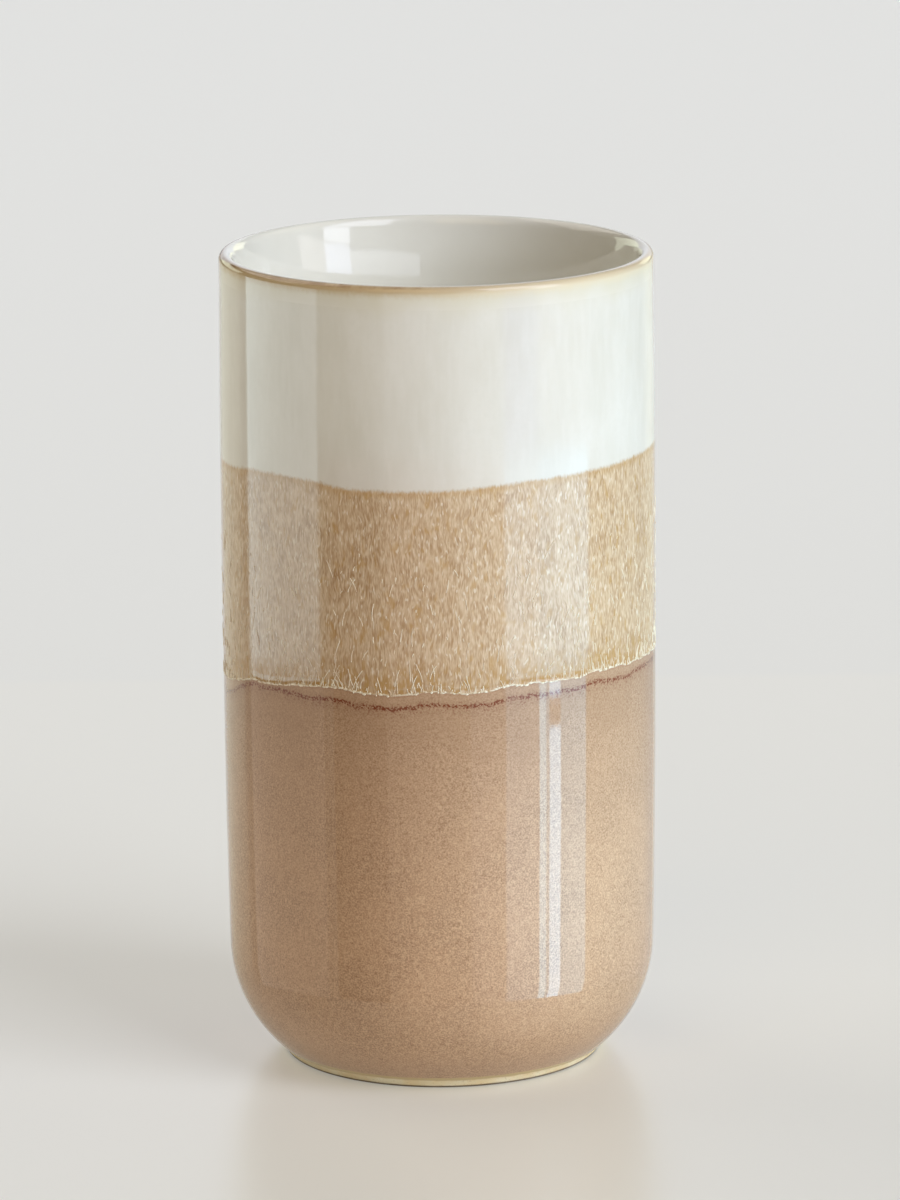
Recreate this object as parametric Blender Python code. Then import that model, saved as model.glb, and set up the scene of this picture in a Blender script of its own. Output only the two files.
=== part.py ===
# Ceramic tumbler: a turned stoneware body with its coats of glaze, each a solid of its own.
# Metres, +Z up. The origin is the centre of the foot ring, on the surface that the tumbler stands on.
# -Y is the front. Only the dip lines of the glazes lean, so only they have a front and a right.

import math

import bmesh
import bpy

# Outside of the glazed tumbler
HEIGHT = 0.1319
RADIUS = 0.0350
CORNER_RADIUS = 0.0226
CORNER_CUT_OFF = 0.0040  # how much of the base round the standing plane would cut off
BASE_DRAW_IN = 0.0004
BASE_DRAW_HEIGHT = 0.042
LIP_DRAW_IN = 0.0002
LIP_DRAW_HEIGHT = 0.026

# Wall, lip and floor, with the glaze on both sides. The lip is a narrow round outside and a long one inside.
WALL = 0.0054
LIP_ROUND = 0.00115
LIP_INSIDE_REACH = 0.0015
LIP_INSIDE_DROP = 0.0030
LIP_LEAN = 0.30  # radians by which the cavity leans out where it meets the lip
FLOOR_HEIGHT = 0.0060
FLOOR_FILLET = 0.008

# Bare foot ring, and the recess inside it
FOOT_SETBACK = 0.00114
FOOT_HEIGHT = 0.0016
FOOT_RING_WIDTH = 0.0030
FOOT_EDGE_ROUND = 0.0004
FOOT_LEDGE_SETBACK = 0.00015
RECESS_DEPTH = 0.0016
RECESS_CROWN = 0.0004
RECESS_FILLET = 0.0008

# Glaze: where one coat laps over the next, its edge leans over that coat by LAP
GLAZE_THICKNESS = 0.0004
SEAT_GAP = 0.0003
LAP = 0.0004
LAP_GAP = 0.0004
LIP_BAND = 0.0036
ROLL_PROUD = 0.00012
ROLL_HEIGHT = 0.0016

# Dip lines: height at the axis, and how much higher they are on the right and at the front
WHITE_LINE_HEIGHT = 0.1003
WHITE_LINE_RISE_RIGHT = 0.0009
WHITE_LINE_RISE_FRONT = 0.0
TAN_LINE_HEIGHT = 0.0652
TAN_LINE_RISE_RIGHT = 0.0020
TAN_LINE_RISE_FRONT = 0.0021

# How finely the round shapes are cut
SIDES = 48
WALL_STEPS = 4
BAND_STEPS = 2
CORNER_STEPS = 8
FILLET_STEPS = 4
CROWN_STEPS = 4
EDGE_STEPS = 2
ROLL_STEPS = 4
MERGE_DISTANCE = 0.000002


# Curves of the section, as points (r, z)
def along(start, end, steps):
    """Evenly spaced values from start to end, with both ends."""
    return [start + (end - start) * step / steps for step in range(steps + 1)]


def on_circle(centre, radius, angle):
    """A point on a circle of the section: angle 0 points away from the axis, and a right angle points up."""
    return centre[0] + radius * math.cos(angle), centre[1] + radius * math.sin(angle)


def arc(centre, radius, start, end, steps):
    return [on_circle(centre, radius, angle) for angle in along(start, end, steps)]


def on_oval(centre, reach, rise, angle):
    """A point on an upright oval of the section."""
    return centre[0] + reach * math.cos(angle), centre[1] + rise * math.sin(angle)


def clamped(share):
    return min(max(share, 0.0), 1.0)


def settled(share):
    """Rises from 0 to 1 and levels off at the end."""
    return 1 - (1 - share) ** 2


def smooth(share):
    """Rises from 0 to 1, level at both ends."""
    return share * share * (3 - 2 * share)


# Clay keeps this distance to the glazed surface of the tumbler.
COAT_DEPTH = GLAZE_THICKNESS + SEAT_GAP

# Round of the base. The wall above it leans out a little, so the round ends just short of upright.
WALL_LEAN = math.atan(2 * BASE_DRAW_IN / BASE_DRAW_HEIGHT)
CORNER_CENTRE = (
    RADIUS - BASE_DRAW_IN - CORNER_RADIUS * math.cos(WALL_LEAN),
    CORNER_RADIUS - CORNER_CUT_OFF,
)
CORNER_TOP = CORNER_CENTRE[1] - CORNER_RADIUS * math.sin(WALL_LEAN)

# Lip: its crest, the centres of its two rounds, and where the inside round meets the flare of the cavity
CREST_RADIUS = RADIUS - LIP_DRAW_IN - LIP_ROUND
LIP_CENTRE = (CREST_RADIUS, HEIGHT - LIP_ROUND)
LIP_INSIDE_CENTRE = (CREST_RADIUS, HEIGHT - LIP_INSIDE_DROP)
LIP_JOIN_ANGLE = math.atan(LIP_INSIDE_DROP / LIP_INSIDE_REACH * math.tan(LIP_LEAN))
LIP_JOIN = on_oval(LIP_INSIDE_CENTRE, LIP_INSIDE_REACH, LIP_INSIDE_DROP, math.pi - LIP_JOIN_ANGLE)
LIP_FLARE = LIP_JOIN[0] - (RADIUS - WALL)
LIP_FLARE_HEIGHT = 2 * LIP_FLARE / math.tan(LIP_LEAN)

# Inside, the round keeps the thickness of the wall, and a fillet joins it to the flat floor.
INSIDE_CENTRE = (CORNER_CENTRE[0], CORNER_CENTRE[1])
INSIDE_RADIUS = RADIUS - WALL - INSIDE_CENTRE[0]
FLOOR_FILLET_FITTED = min(FLOOR_FILLET, INSIDE_CENTRE[1] - FLOOR_HEIGHT)
FILLET_REACH = INSIDE_RADIUS - FLOOR_FILLET_FITTED
FILLET_DROP = INSIDE_CENTRE[1] - FLOOR_HEIGHT - FLOOR_FILLET_FITTED
FILLET_ANGLE = -math.asin(FILLET_DROP / FILLET_REACH)
FILLET_CENTRE = on_circle(INSIDE_CENTRE, FILLET_REACH, FILLET_ANGLE)

# Foot ring, set back from the edge of the glaze, and the recess inside it
FOOT_REACH = math.sqrt(CORNER_RADIUS**2 - (CORNER_CENTRE[1] - FOOT_HEIGHT) ** 2)
FOOT_RADIUS = CORNER_CENTRE[0] + FOOT_REACH - FOOT_SETBACK
RECESS_RADIUS = FOOT_RADIUS - FOOT_RING_WIDTH
RECESS_CENTRE = (
    RECESS_RADIUS - RECESS_FILLET - COAT_DEPTH,
    RECESS_DEPTH - RECESS_FILLET,
)


def outside_radius(height):
    """Radius of the glazed wall above the round of the base."""
    base = settled(clamped((height - CORNER_TOP) / BASE_DRAW_HEIGHT))
    lip = smooth(clamped(1 - (LIP_CENTRE[1] - height) / LIP_DRAW_HEIGHT))
    return RADIUS - BASE_DRAW_IN * (1 - base) - LIP_DRAW_IN * lip


def cavity_radius(height):
    """Radius of the glazed cavity above its round: straight, then flared towards the lip."""
    flare = clamped(1 - (LIP_JOIN[1] - height) / LIP_FLARE_HEIGHT) ** 2
    return RADIUS - WALL + LIP_FLARE * flare


def outside_wall(depth, heights):
    return [(outside_radius(height) - depth, height) for height in heights]


def cavity_wall(depth, heights):
    return [(cavity_radius(height) + depth, height) for height in heights]


def cavity_floor(depth):
    """From the axis along the floor and up to the wall, at this depth under the glazed surface."""
    floor = [(0.0, FLOOR_HEIGHT - depth)]
    fillet = arc(
        FILLET_CENTRE, FLOOR_FILLET_FITTED + depth, -math.pi / 2, FILLET_ANGLE, FILLET_STEPS
    )
    rounding = arc(INSIDE_CENTRE, INSIDE_RADIUS + depth, FILLET_ANGLE, 0.0, FILLET_STEPS)
    return floor + fillet + rounding[1:]


def cavity_heights(top):
    return along(LIP_JOIN[1] - LIP_FLARE_HEIGHT, top, WALL_STEPS)


def base_angle(depth, height):
    """Where the round of the base, at this depth under the glaze, passes a height."""
    return math.asin((height - CORNER_CENTRE[1]) / (CORNER_RADIUS - depth))


def base_round(depth, foot_height):
    """Down the round of the base, from the wall to a height."""
    end = base_angle(depth, foot_height)
    return arc(CORNER_CENTRE, CORNER_RADIUS - depth, -WALL_LEAN, end, CORNER_STEPS)


def lip_join_height(depth):
    """Height at which the flare of the cavity, at this depth, meets the round of the lip."""
    return LIP_JOIN[1] - depth * math.sin(LIP_JOIN_ANGLE)


def crown(depth):
    """Over the lip, from the cavity to the outside."""
    reach = LIP_INSIDE_REACH - depth
    rise = LIP_INSIDE_DROP - depth
    angles = along(math.pi - LIP_JOIN_ANGLE, math.pi / 2, CROWN_STEPS)
    inside = [on_oval(LIP_INSIDE_CENTRE, reach, rise, angle) for angle in angles]
    outside = arc(LIP_CENTRE, LIP_ROUND - depth, math.pi / 2, 0.0, CROWN_STEPS)
    return inside + outside[1:]


def recess_fillet(depth):
    """From the side of the recess up to its ceiling."""
    return arc(RECESS_CENTRE, RECESS_FILLET + depth, 0.0, math.pi / 2, EDGE_STEPS)


def white_line(turn):
    """Height of the upper dip line. The turn is 0 on the right, and a quarter turn on it is the back."""
    lean = WHITE_LINE_RISE_RIGHT * math.cos(turn) - WHITE_LINE_RISE_FRONT * math.sin(turn)
    return WHITE_LINE_HEIGHT + lean


def tan_line(turn):
    """Height of the lower dip line."""
    lean = TAN_LINE_RISE_RIGHT * math.cos(turn) - TAN_LINE_RISE_FRONT * math.sin(turn)
    return TAN_LINE_HEIGHT + lean


# Making the solids
def finish(name, colour, roughness):
    made = bpy.data.materials.new(name)
    made.use_nodes = True
    made.diffuse_color = (*colour, 1.0)
    shader = made.node_tree.nodes["Principled BSDF"]
    shader.inputs["Base Color"].default_value = (*colour, 1.0)
    shader.inputs["Roughness"].default_value = roughness
    shader.inputs["Metallic"].default_value = 0.0
    return made


def add_object(name, mesh, coating):
    mesh.materials.append(coating)
    made = bpy.data.objects.new(name, mesh)
    bpy.context.collection.objects.link(made)
    return made


def turned(name, outline, coating):
    """A solid of revolution. The outline goes clockwise, with r to the right and z up."""
    count = len(outline)
    edges = [(i, i + 1) for i in range(count - 1)]
    if outline[0][0] > 0:
        edges.append((count - 1, 0))
    mesh = bpy.data.meshes.new(name)
    mesh.from_pydata([(r, 0.0, z) for r, z in outline], edges, [])
    made = add_object(name, mesh, coating)
    turning = made.modifiers.new("turning", "SCREW")
    turning.steps = SIDES
    turning.render_steps = SIDES
    turning.use_merge_vertices = True
    turning.merge_threshold = MERGE_DISTANCE
    turning.use_smooth_shade = True
    return made


def dipped(name, section, coating):
    """A coat between leaning dip lines. section(turn) runs up its outside and down its inside."""
    build = bmesh.new()
    rings = []
    for side in range(SIDES):
        turn = 2 * math.pi * side / SIDES
        points = [(r * math.cos(turn), r * math.sin(turn), z) for r, z in section(turn)]
        rings.append([build.verts.new(point) for point in points])
    for here, there in zip(rings, rings[1:] + rings[:1]):
        for i in range(len(here)):
            build.faces.new((here[i - 1], there[i - 1], there[i], here[i]))
    for face in build.faces:
        face.smooth = True
    mesh = bpy.data.meshes.new(name)
    build.to_mesh(mesh)
    build.free()
    return add_object(name, mesh, coating)


for leftover in list(bpy.data.objects):
    bpy.data.objects.remove(leftover)


# Clay body: cavity, lip core, outer wall, bare foot ring and recess, in one outline
def clay_outline():
    lip_draw_starts = LIP_CENTRE[1] - LIP_DRAW_HEIGHT
    base_draw_ends = CORNER_TOP + BASE_DRAW_HEIGHT
    heights = along(LIP_CENTRE[1], lip_draw_starts, WALL_STEPS)[1:]
    heights += along(base_draw_ends, CORNER_TOP, WALL_STEPS)[:-1]
    ledge_height = FOOT_HEIGHT - SEAT_GAP
    ledge_radius = CORNER_RADIUS - FOOT_LEDGE_SETBACK
    ledge_angle = base_angle(FOOT_LEDGE_SETBACK, ledge_height)
    outer_edge = (FOOT_RADIUS - FOOT_EDGE_ROUND, FOOT_EDGE_ROUND)
    inner_edge = (RECESS_RADIUS + FOOT_EDGE_ROUND, FOOT_EDGE_ROUND)
    return [
        *cavity_floor(COAT_DEPTH),
        *cavity_wall(COAT_DEPTH, cavity_heights(lip_join_height(COAT_DEPTH))[:-1]),
        *crown(COAT_DEPTH),
        *outside_wall(COAT_DEPTH, heights),
        *base_round(COAT_DEPTH, ledge_height),
        on_circle(CORNER_CENTRE, ledge_radius, ledge_angle),
        *arc(outer_edge, FOOT_EDGE_ROUND, 0.0, -math.pi / 2, EDGE_STEPS),
        *arc(inner_edge, FOOT_EDGE_ROUND, -math.pi / 2, -math.pi, EDGE_STEPS),
        *recess_fillet(COAT_DEPTH),
        (0.0, RECESS_DEPTH + RECESS_CROWN + COAT_DEPTH),
    ]


turned("clay_body", clay_outline(), finish("bare stoneware", (0.72, 0.58, 0.35), 0.85))


# Liner glaze: over the wall and floor of the cavity, up to the edge of the lip's coat
def liner_outline():
    top = HEIGHT - LIP_BAND - LAP_GAP
    surface = cavity_floor(0.0) + cavity_wall(0.0, cavity_heights(top))
    seat = cavity_floor(GLAZE_THICKNESS) + cavity_wall(GLAZE_THICKNESS, cavity_heights(top + LAP))
    return surface + seat[::-1]


turned("liner_glaze", liner_outline(), finish("white liner glaze", (0.78, 0.77, 0.73), 0.08))


# Lip glaze: thin and warm, over the crown and down both sides, lapping over the coats below it
def lip_side(depth, edge):
    inside = cavity_wall(depth, along(edge, lip_join_height(depth), BAND_STEPS)[:-1])
    outside = outside_wall(depth, along(LIP_CENTRE[1], edge, BAND_STEPS)[1:])
    return [*inside, *crown(depth), *outside]


def lip_outline():
    edge = HEIGHT - LIP_BAND
    return lip_side(0.0, edge) + lip_side(GLAZE_THICKNESS, edge + LAP)[::-1]


turned("lip_glaze", lip_outline(), finish("lip glaze", (0.56, 0.40, 0.22), 0.15))


# White glaze: the upper band, lapping over the tan glaze along the upper dip line
def white_section(turn):
    top = HEIGHT - LIP_BAND - LAP_GAP
    bottom = white_line(turn)
    surface = outside_wall(0.0, along(bottom, top, WALL_STEPS))
    seat = outside_wall(GLAZE_THICKNESS, along(bottom + LAP, top + LAP, WALL_STEPS))
    return surface + seat[::-1]


dipped("white_glaze", white_section, finish("white glaze", (0.77, 0.76, 0.69), 0.10))


# Tan glaze: the middle band. It ran a little in the kiln, so its lower edge is a rolled bead.
def tan_section(turn):
    top = white_line(turn) - LAP_GAP
    bottom = tan_line(turn)
    roll = []
    for share in along(0.0, 1.0, ROLL_STEPS):
        height = bottom + share * ROLL_HEIGHT
        proud = ROLL_PROUD * math.sin(math.pi * share)
        roll.append((outside_radius(height) + proud, height))
    surface = roll + outside_wall(0.0, along(bottom + ROLL_HEIGHT, top, BAND_STEPS)[1:])
    seat = outside_wall(GLAZE_THICKNESS, along(bottom + LAP, top + LAP, BAND_STEPS))
    return surface + seat[::-1]


dipped("tan_glaze", tan_section, finish("tan reactive glaze", (0.50, 0.36, 0.22), 0.12))


# Rose glaze: the lower coat, under the tan bead at its top and down the round of the base to the foot
def rose_section(turn):
    top = tan_line(turn) - LAP_GAP
    surface = base_round(0.0, FOOT_HEIGHT)[::-1]
    surface += outside_wall(0.0, along(CORNER_TOP, top, WALL_STEPS)[1:])
    seat = base_round(GLAZE_THICKNESS, FOOT_HEIGHT)[::-1]
    seat += outside_wall(GLAZE_THICKNESS, along(CORNER_TOP, top + LAP, WALL_STEPS)[1:])
    return surface + seat[::-1]


dipped("rose_glaze", rose_section, finish("rose brown glaze", (0.42, 0.27, 0.18), 0.22))


# Recess glaze: the glazed ceiling inside the foot ring, clear of the surface that the foot stands on
def recess_outline():
    surface = [*recess_fillet(0.0), (0.0, RECESS_DEPTH + RECESS_CROWN)]
    seat_top = RECESS_DEPTH + RECESS_CROWN + GLAZE_THICKNESS
    seat = [*recess_fillet(GLAZE_THICKNESS), (0.0, seat_top)]
    return seat[::-1] + surface


turned("recess_glaze", recess_outline(), finish("recess glaze", (0.74, 0.72, 0.66), 0.15))
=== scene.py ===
import math

import bpy
from mathutils import Matrix, Vector


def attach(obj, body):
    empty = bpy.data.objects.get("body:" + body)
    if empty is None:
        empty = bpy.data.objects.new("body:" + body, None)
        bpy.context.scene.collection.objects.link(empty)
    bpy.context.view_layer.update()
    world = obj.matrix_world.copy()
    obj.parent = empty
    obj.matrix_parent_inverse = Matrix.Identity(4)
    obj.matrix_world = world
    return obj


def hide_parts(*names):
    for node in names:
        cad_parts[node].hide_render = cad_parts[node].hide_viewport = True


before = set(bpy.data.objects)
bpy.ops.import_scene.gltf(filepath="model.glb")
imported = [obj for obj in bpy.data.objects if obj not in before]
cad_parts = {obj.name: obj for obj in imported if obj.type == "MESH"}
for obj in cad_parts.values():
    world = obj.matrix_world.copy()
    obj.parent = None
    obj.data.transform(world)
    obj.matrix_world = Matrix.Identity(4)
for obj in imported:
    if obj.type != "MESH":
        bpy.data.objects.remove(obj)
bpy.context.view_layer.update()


# Clay body
# The tumbler is one body of buff stoneware, turned on a wheel and fired. Glaze covers all of it but the
# foot ring, which was wiped bare so that it would not stick to the kiln shelf.
HEIGHT = 0.1319
RADIUS = 0.0350
CORNER_RADIUS = 0.0226
CORNER_CUT_OFF = 0.0040
BASE_DRAW_IN = 0.0004
BASE_DRAW_HEIGHT = 0.042
LIP_DRAW_IN = 0.0002
LIP_DRAW_HEIGHT = 0.026
WALL = 0.0054
LIP_ROUND = 0.00115
LIP_INSIDE_REACH = 0.0015
LIP_INSIDE_DROP = 0.0030
LIP_LEAN = 0.30
FLOOR_HEIGHT = 0.0060
FLOOR_FILLET = 0.008
FOOT_SETBACK = 0.00114
FOOT_HEIGHT = 0.0016
FOOT_RING_WIDTH = 0.0030
FOOT_EDGE_ROUND = 0.0004
LEDGE_DEPTH = 0.00005
RECESS_DEPTH = 0.0016
RECESS_CROWN = 0.0004
RECESS_FILLET = 0.0008
GLAZE_THICKNESS = 0.0004

WALL_LEAN = math.atan(2 * BASE_DRAW_IN / BASE_DRAW_HEIGHT)
CORNER_CENTRE = (
    RADIUS - BASE_DRAW_IN - CORNER_RADIUS * math.cos(WALL_LEAN),
    CORNER_RADIUS - CORNER_CUT_OFF,
)
CORNER_TOP = CORNER_CENTRE[1] - CORNER_RADIUS * math.sin(WALL_LEAN)
CREST_RADIUS = RADIUS - LIP_DRAW_IN - LIP_ROUND
LIP_CENTRE = (CREST_RADIUS, HEIGHT - LIP_ROUND)
LIP_INSIDE_CENTRE = (CREST_RADIUS, HEIGHT - LIP_INSIDE_DROP)
LIP_JOIN_ANGLE = math.atan(LIP_INSIDE_DROP / LIP_INSIDE_REACH * math.tan(LIP_LEAN))
LIP_JOIN = (
    CREST_RADIUS - LIP_INSIDE_REACH * math.cos(LIP_JOIN_ANGLE),
    LIP_INSIDE_CENTRE[1] + LIP_INSIDE_DROP * math.sin(LIP_JOIN_ANGLE),
)
LIP_FLARE = LIP_JOIN[0] - (RADIUS - WALL)
LIP_FLARE_HEIGHT = 2 * LIP_FLARE / math.tan(LIP_LEAN)
INSIDE_RADIUS = RADIUS - WALL - CORNER_CENTRE[0]
FILLET_REACH = INSIDE_RADIUS - FLOOR_FILLET
FILLET_ANGLE = -math.asin((CORNER_CENTRE[1] - FLOOR_HEIGHT - FLOOR_FILLET) / FILLET_REACH)
FOOT_REACH = math.sqrt(CORNER_RADIUS ** 2 - (CORNER_CENTRE[1] - FOOT_HEIGHT) ** 2)
FOOT_RADIUS = CORNER_CENTRE[0] + FOOT_REACH - FOOT_SETBACK
RECESS_RADIUS = FOOT_RADIUS - FOOT_RING_WIDTH


def along(start, end, steps):
    """Evenly spaced values from start to end, with both ends."""
    return [start + (end - start) * step / steps for step in range(steps + 1)]


def on_circle(centre, radius, angle):
    """A point (r, z) of the section: angle 0 points away from the axis, a quarter turn up."""
    return centre[0] + radius * math.cos(angle), centre[1] + radius * math.sin(angle)


def arc(centre, radius, start, end, steps):
    return [on_circle(centre, radius, angle) for angle in along(start, end, steps)]


def clamped(share):
    return min(max(share, 0.0), 1.0)


def settled(share):
    """Rises from 0 to 1 and levels off at the end."""
    return 1 - (1 - share) ** 2


def smooth(share):
    """Rises from 0 to 1, level at both ends."""
    return share * share * (3 - 2 * share)


def outside_radius(height):
    base = settled(clamped((height - CORNER_TOP) / BASE_DRAW_HEIGHT))
    lip = smooth(clamped(1 - (LIP_CENTRE[1] - height) / LIP_DRAW_HEIGHT))
    return RADIUS - BASE_DRAW_IN * (1 - base) - LIP_DRAW_IN * lip


def cavity_radius(height):
    """Above its round the cavity is straight, then flares to the lip."""
    flare = clamped(1 - (LIP_JOIN[1] - height) / LIP_FLARE_HEIGHT) ** 2
    return RADIUS - WALL + LIP_FLARE * flare


def outside_wall(depth, heights):
    return [(outside_radius(height) - depth, height) for height in heights]


def cavity_wall(depth, heights):
    return [(cavity_radius(height) + depth, height) for height in heights]


def cavity_floor(depth, steps):
    """From the axis along the floor and up to the wall, at this depth under the glazed surface."""
    fillet_centre = on_circle(CORNER_CENTRE, FILLET_REACH, FILLET_ANGLE)
    floor = [(0.0, FLOOR_HEIGHT - depth)]
    fillet = arc(fillet_centre, FLOOR_FILLET + depth, -math.pi / 2, FILLET_ANGLE, steps)
    rounding = arc(CORNER_CENTRE, INSIDE_RADIUS + depth, FILLET_ANGLE, 0.0, steps)
    return floor + fillet + rounding[1:]


def base_angle(depth, height):
    """Where the round of the base, at this depth under the glaze, passes a height."""
    return math.asin((height - CORNER_CENTRE[1]) / (CORNER_RADIUS - depth))


def base_round(depth, steps):
    """Down the round of the base, from the wall to the foot."""
    end = base_angle(depth, FOOT_HEIGHT)
    return arc(CORNER_CENTRE, CORNER_RADIUS - depth, -WALL_LEAN, end, steps)


def lip_join_height(depth):
    """Height at which the flare of the cavity, at this depth, meets the round of the lip."""
    return LIP_JOIN[1] - depth * math.sin(LIP_JOIN_ANGLE)


def crown(depth, steps):
    """Over the lip: up a long round inside, and down a narrow one outside."""
    reach = LIP_INSIDE_REACH - depth
    rise = LIP_INSIDE_DROP - depth
    inside = []
    for angle in along(math.pi - LIP_JOIN_ANGLE, math.pi / 2, steps)[:-1]:
        inside.append((
            LIP_INSIDE_CENTRE[0] + reach * math.cos(angle),
            LIP_INSIDE_CENTRE[1] + rise * math.sin(angle),
        ))
    return inside + arc(LIP_CENTRE, LIP_ROUND - depth, math.pi / 2, 0.0, steps)


def recess_ceiling(depth, steps):
    """From the side of the recess up to its ceiling and in to the axis."""
    centre = (RECESS_RADIUS - RECESS_FILLET - GLAZE_THICKNESS, RECESS_DEPTH - RECESS_FILLET)
    fillet = arc(centre, RECESS_FILLET + depth, 0.0, math.pi / 2, steps)
    return [*fillet, (0.0, RECESS_DEPTH + RECESS_CROWN + depth)]


class Wire:
    """An output of a node. Sums with other wires or with numbers add Math nodes to its tree."""

    def __init__(self, nodes, socket):
        self.nodes = nodes
        self.socket = socket

    def beside(self, output):
        """Another output of the same node."""
        return Wire(self.nodes, self.socket.node.outputs[output])

    def worked(self, operation, *terms):
        return self.nodes.add("ShaderNodeMath", {"operation": operation}, dict(enumerate(terms)))

    def __add__(self, other):
        return self.worked("ADD", self, other)

    def __radd__(self, other):
        return self.worked("ADD", other, self)

    def __sub__(self, other):
        return self.worked("SUBTRACT", self, other)

    def __rsub__(self, other):
        return self.worked("SUBTRACT", other, self)

    def __mul__(self, other):
        return self.worked("MULTIPLY", self, other)

    def __rmul__(self, other):
        return self.worked("MULTIPLY", other, self)

    def __truediv__(self, other):
        return self.worked("DIVIDE", self, other)

    def __rtruediv__(self, other):
        return self.worked("DIVIDE", other, self)

    def __pow__(self, other):
        return self.worked("POWER", self, other)

    def __rpow__(self, other):
        return self.worked("POWER", other, self)

    def __abs__(self):
        return self.worked("ABSOLUTE", self)

    def larger(self, other):
        return self.worked("MAXIMUM", self, other)

    def rise(self, start, end):
        """0 up to start and 1 from end on, with a soft passage between them."""
        sockets = {"Value": self, "From Min": start, "From Max": end}
        return self.nodes.add("ShaderNodeMapRange", {"interpolation_type": "SMOOTHSTEP"}, sockets)


class Nodes:
    """A node tree in the making."""

    def __init__(self, tree):
        self.tree = tree
        self.tree.nodes.clear()

    def add(self, kind, settings=None, sockets=None, output=0):
        """Adds a node: its settings come first, then the values or wires of its sockets."""
        node = self.tree.nodes.new(kind)
        for name, value in (settings or {}).items():
            if name == "curve":
                points = node.mapping.curves[0].points
                for _ in range(len(value) - len(points)):
                    points.new(0.5, 0.5)
                for point, place in zip(points, value):
                    point.location = place
                node.mapping.update()
            else:
                setattr(node, name, value)
        for name, value in (sockets or {}).items():
            if isinstance(value, Wire):
                self.tree.links.new(value.socket, node.inputs[name])
            else:
                node.inputs[name].default_value = value
        return Wire(self, node.outputs[output]) if node.outputs else None

    def vector(self, operation, *terms):
        sockets = dict(enumerate(terms))
        return self.add("ShaderNodeVectorMath", {"operation": operation}, sockets)

    def noise(self, place, size, detail=0.0, stretch=1.0, shift=0.0):
        """Cloudy values about 0.5, with marks about this size, drawn out upwards by stretch."""
        scale = (1 / size, 1 / size, 1 / (size * stretch))
        moved = self.vector("MULTIPLY_ADD", place, scale, (shift, shift, shift))
        return self.add("ShaderNodeTexNoise", {}, {"Vector": moved, "Scale": 1.0, "Detail": detail})

    def blend(self, share, first, second):
        """A colour: the first where share is 0, the second where it is 1. The node has sockets of one name
        for each kind of value, so they go by number."""
        settings = {"data_type": "RGBA", "clamp_factor": True}
        colours = {0: share, 6: first, 7: second}
        for place in (6, 7):
            if isinstance(colours[place], tuple):
                colours[place] = (*colours[place], 1.0)
        return self.add("ShaderNodeMix", settings, colours, output=2)


# How the heights of the two dip lines wander round the tumbler: turn as a share of a full one, from the
# right over the back, and millimetres above the height that is named with it.
WHITE_LINE_HEIGHT = 0.1003
WHITE_LINE_COURSE = [
    (0.000, 0.95), (0.125, 0.35), (0.240, -0.20), (0.340, 0.30), (0.450, -0.70), (0.550, -0.85),
    (0.610, 0.20), (0.645, 0.15), (0.690, -0.65), (0.745, -0.60), (0.775, -0.20), (0.825, 0.40),
    (0.880, 0.70), (0.953, 1.00), (1.000, 0.95),
]
TAN_LINE_HEIGHT = 0.0652
TAN_LINE_COURSE = [
    (0.000, 2.10), (0.090, 0.80), (0.180, -0.90), (0.270, -2.10), (0.370, -2.60), (0.450, -2.30),
    (0.539, -1.40), (0.589, 0.60), (0.617, 1.00), (0.653, 1.90), (0.672, 2.10), (0.692, 1.70),
    (0.719, 1.70), (0.750, 2.30), (0.778, 2.10), (0.797, 2.70), (0.814, 2.90), (0.844, 2.60),
    (0.878, 3.00), (0.925, 2.55), (1.000, 2.10),
]
# How far the broken line of iron lies under the lower dip line.
IRON_LINE_COURSE = [
    (0.000, -1.50), (0.100, -1.90), (0.250, -1.80), (0.400, -2.10), (0.500, -2.30), (0.542, -2.15),
    (0.565, -1.20), (0.590, -0.65), (0.618, -0.65), (0.636, -1.40), (0.655, -1.90), (0.750, -2.05),
    (0.820, -1.95), (0.875, -1.65), (0.903, -2.00), (0.944, -1.40), (1.000, -1.50),
]
COURSE_RANGE = 8.0
MILLIMETRE = 0.001
WHITE_LINE_RIPPLE = 0.0004
WHITE_LINE_RIPPLE_SIZE = 0.003
TAN_LINE_RIPPLE = 0.0011
TAN_LINE_RIPPLE_SIZE = 0.0028


def course_rise(nodes, turn, course):
    """Metres above a line's named height at a turn, which is a share of a full one."""
    points = [(share, 0.5 + rise / COURSE_RANGE) for share, rise in course]
    share = nodes.add("ShaderNodeFloatCurve", {"curve": points}, {"Factor": 1.0, "Value": turn})
    return (share - 0.5) * (COURSE_RANGE * MILLIMETRE)


def course_height(nodes, turn, height, course, ripple, ripple_size):
    """The height of a dip line at a turn, with its ripple."""
    angle = turn * math.tau
    circle = nodes.add("ShaderNodeCombineXYZ", {}, {
        "X": angle.worked("COSINE", angle) * RADIUS,
        "Y": angle.worked("SINE", angle) * RADIUS,
        "Z": height,
    })
    quick = nodes.noise(circle, ripple_size, detail=3.0) - 0.5
    return course_rise(nodes, turn, course) + quick * ripple + height


def dip_lines(nodes, turn):
    """The heights of the upper and the lower dip line."""
    white = course_height(
        nodes, turn, WHITE_LINE_HEIGHT, WHITE_LINE_COURSE, WHITE_LINE_RIPPLE, WHITE_LINE_RIPPLE_SIZE
    )
    tan = course_height(
        nodes, turn, TAN_LINE_HEIGHT, TAN_LINE_COURSE, TAN_LINE_RIPPLE, TAN_LINE_RIPPLE_SIZE
    )
    return white, tan


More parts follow.
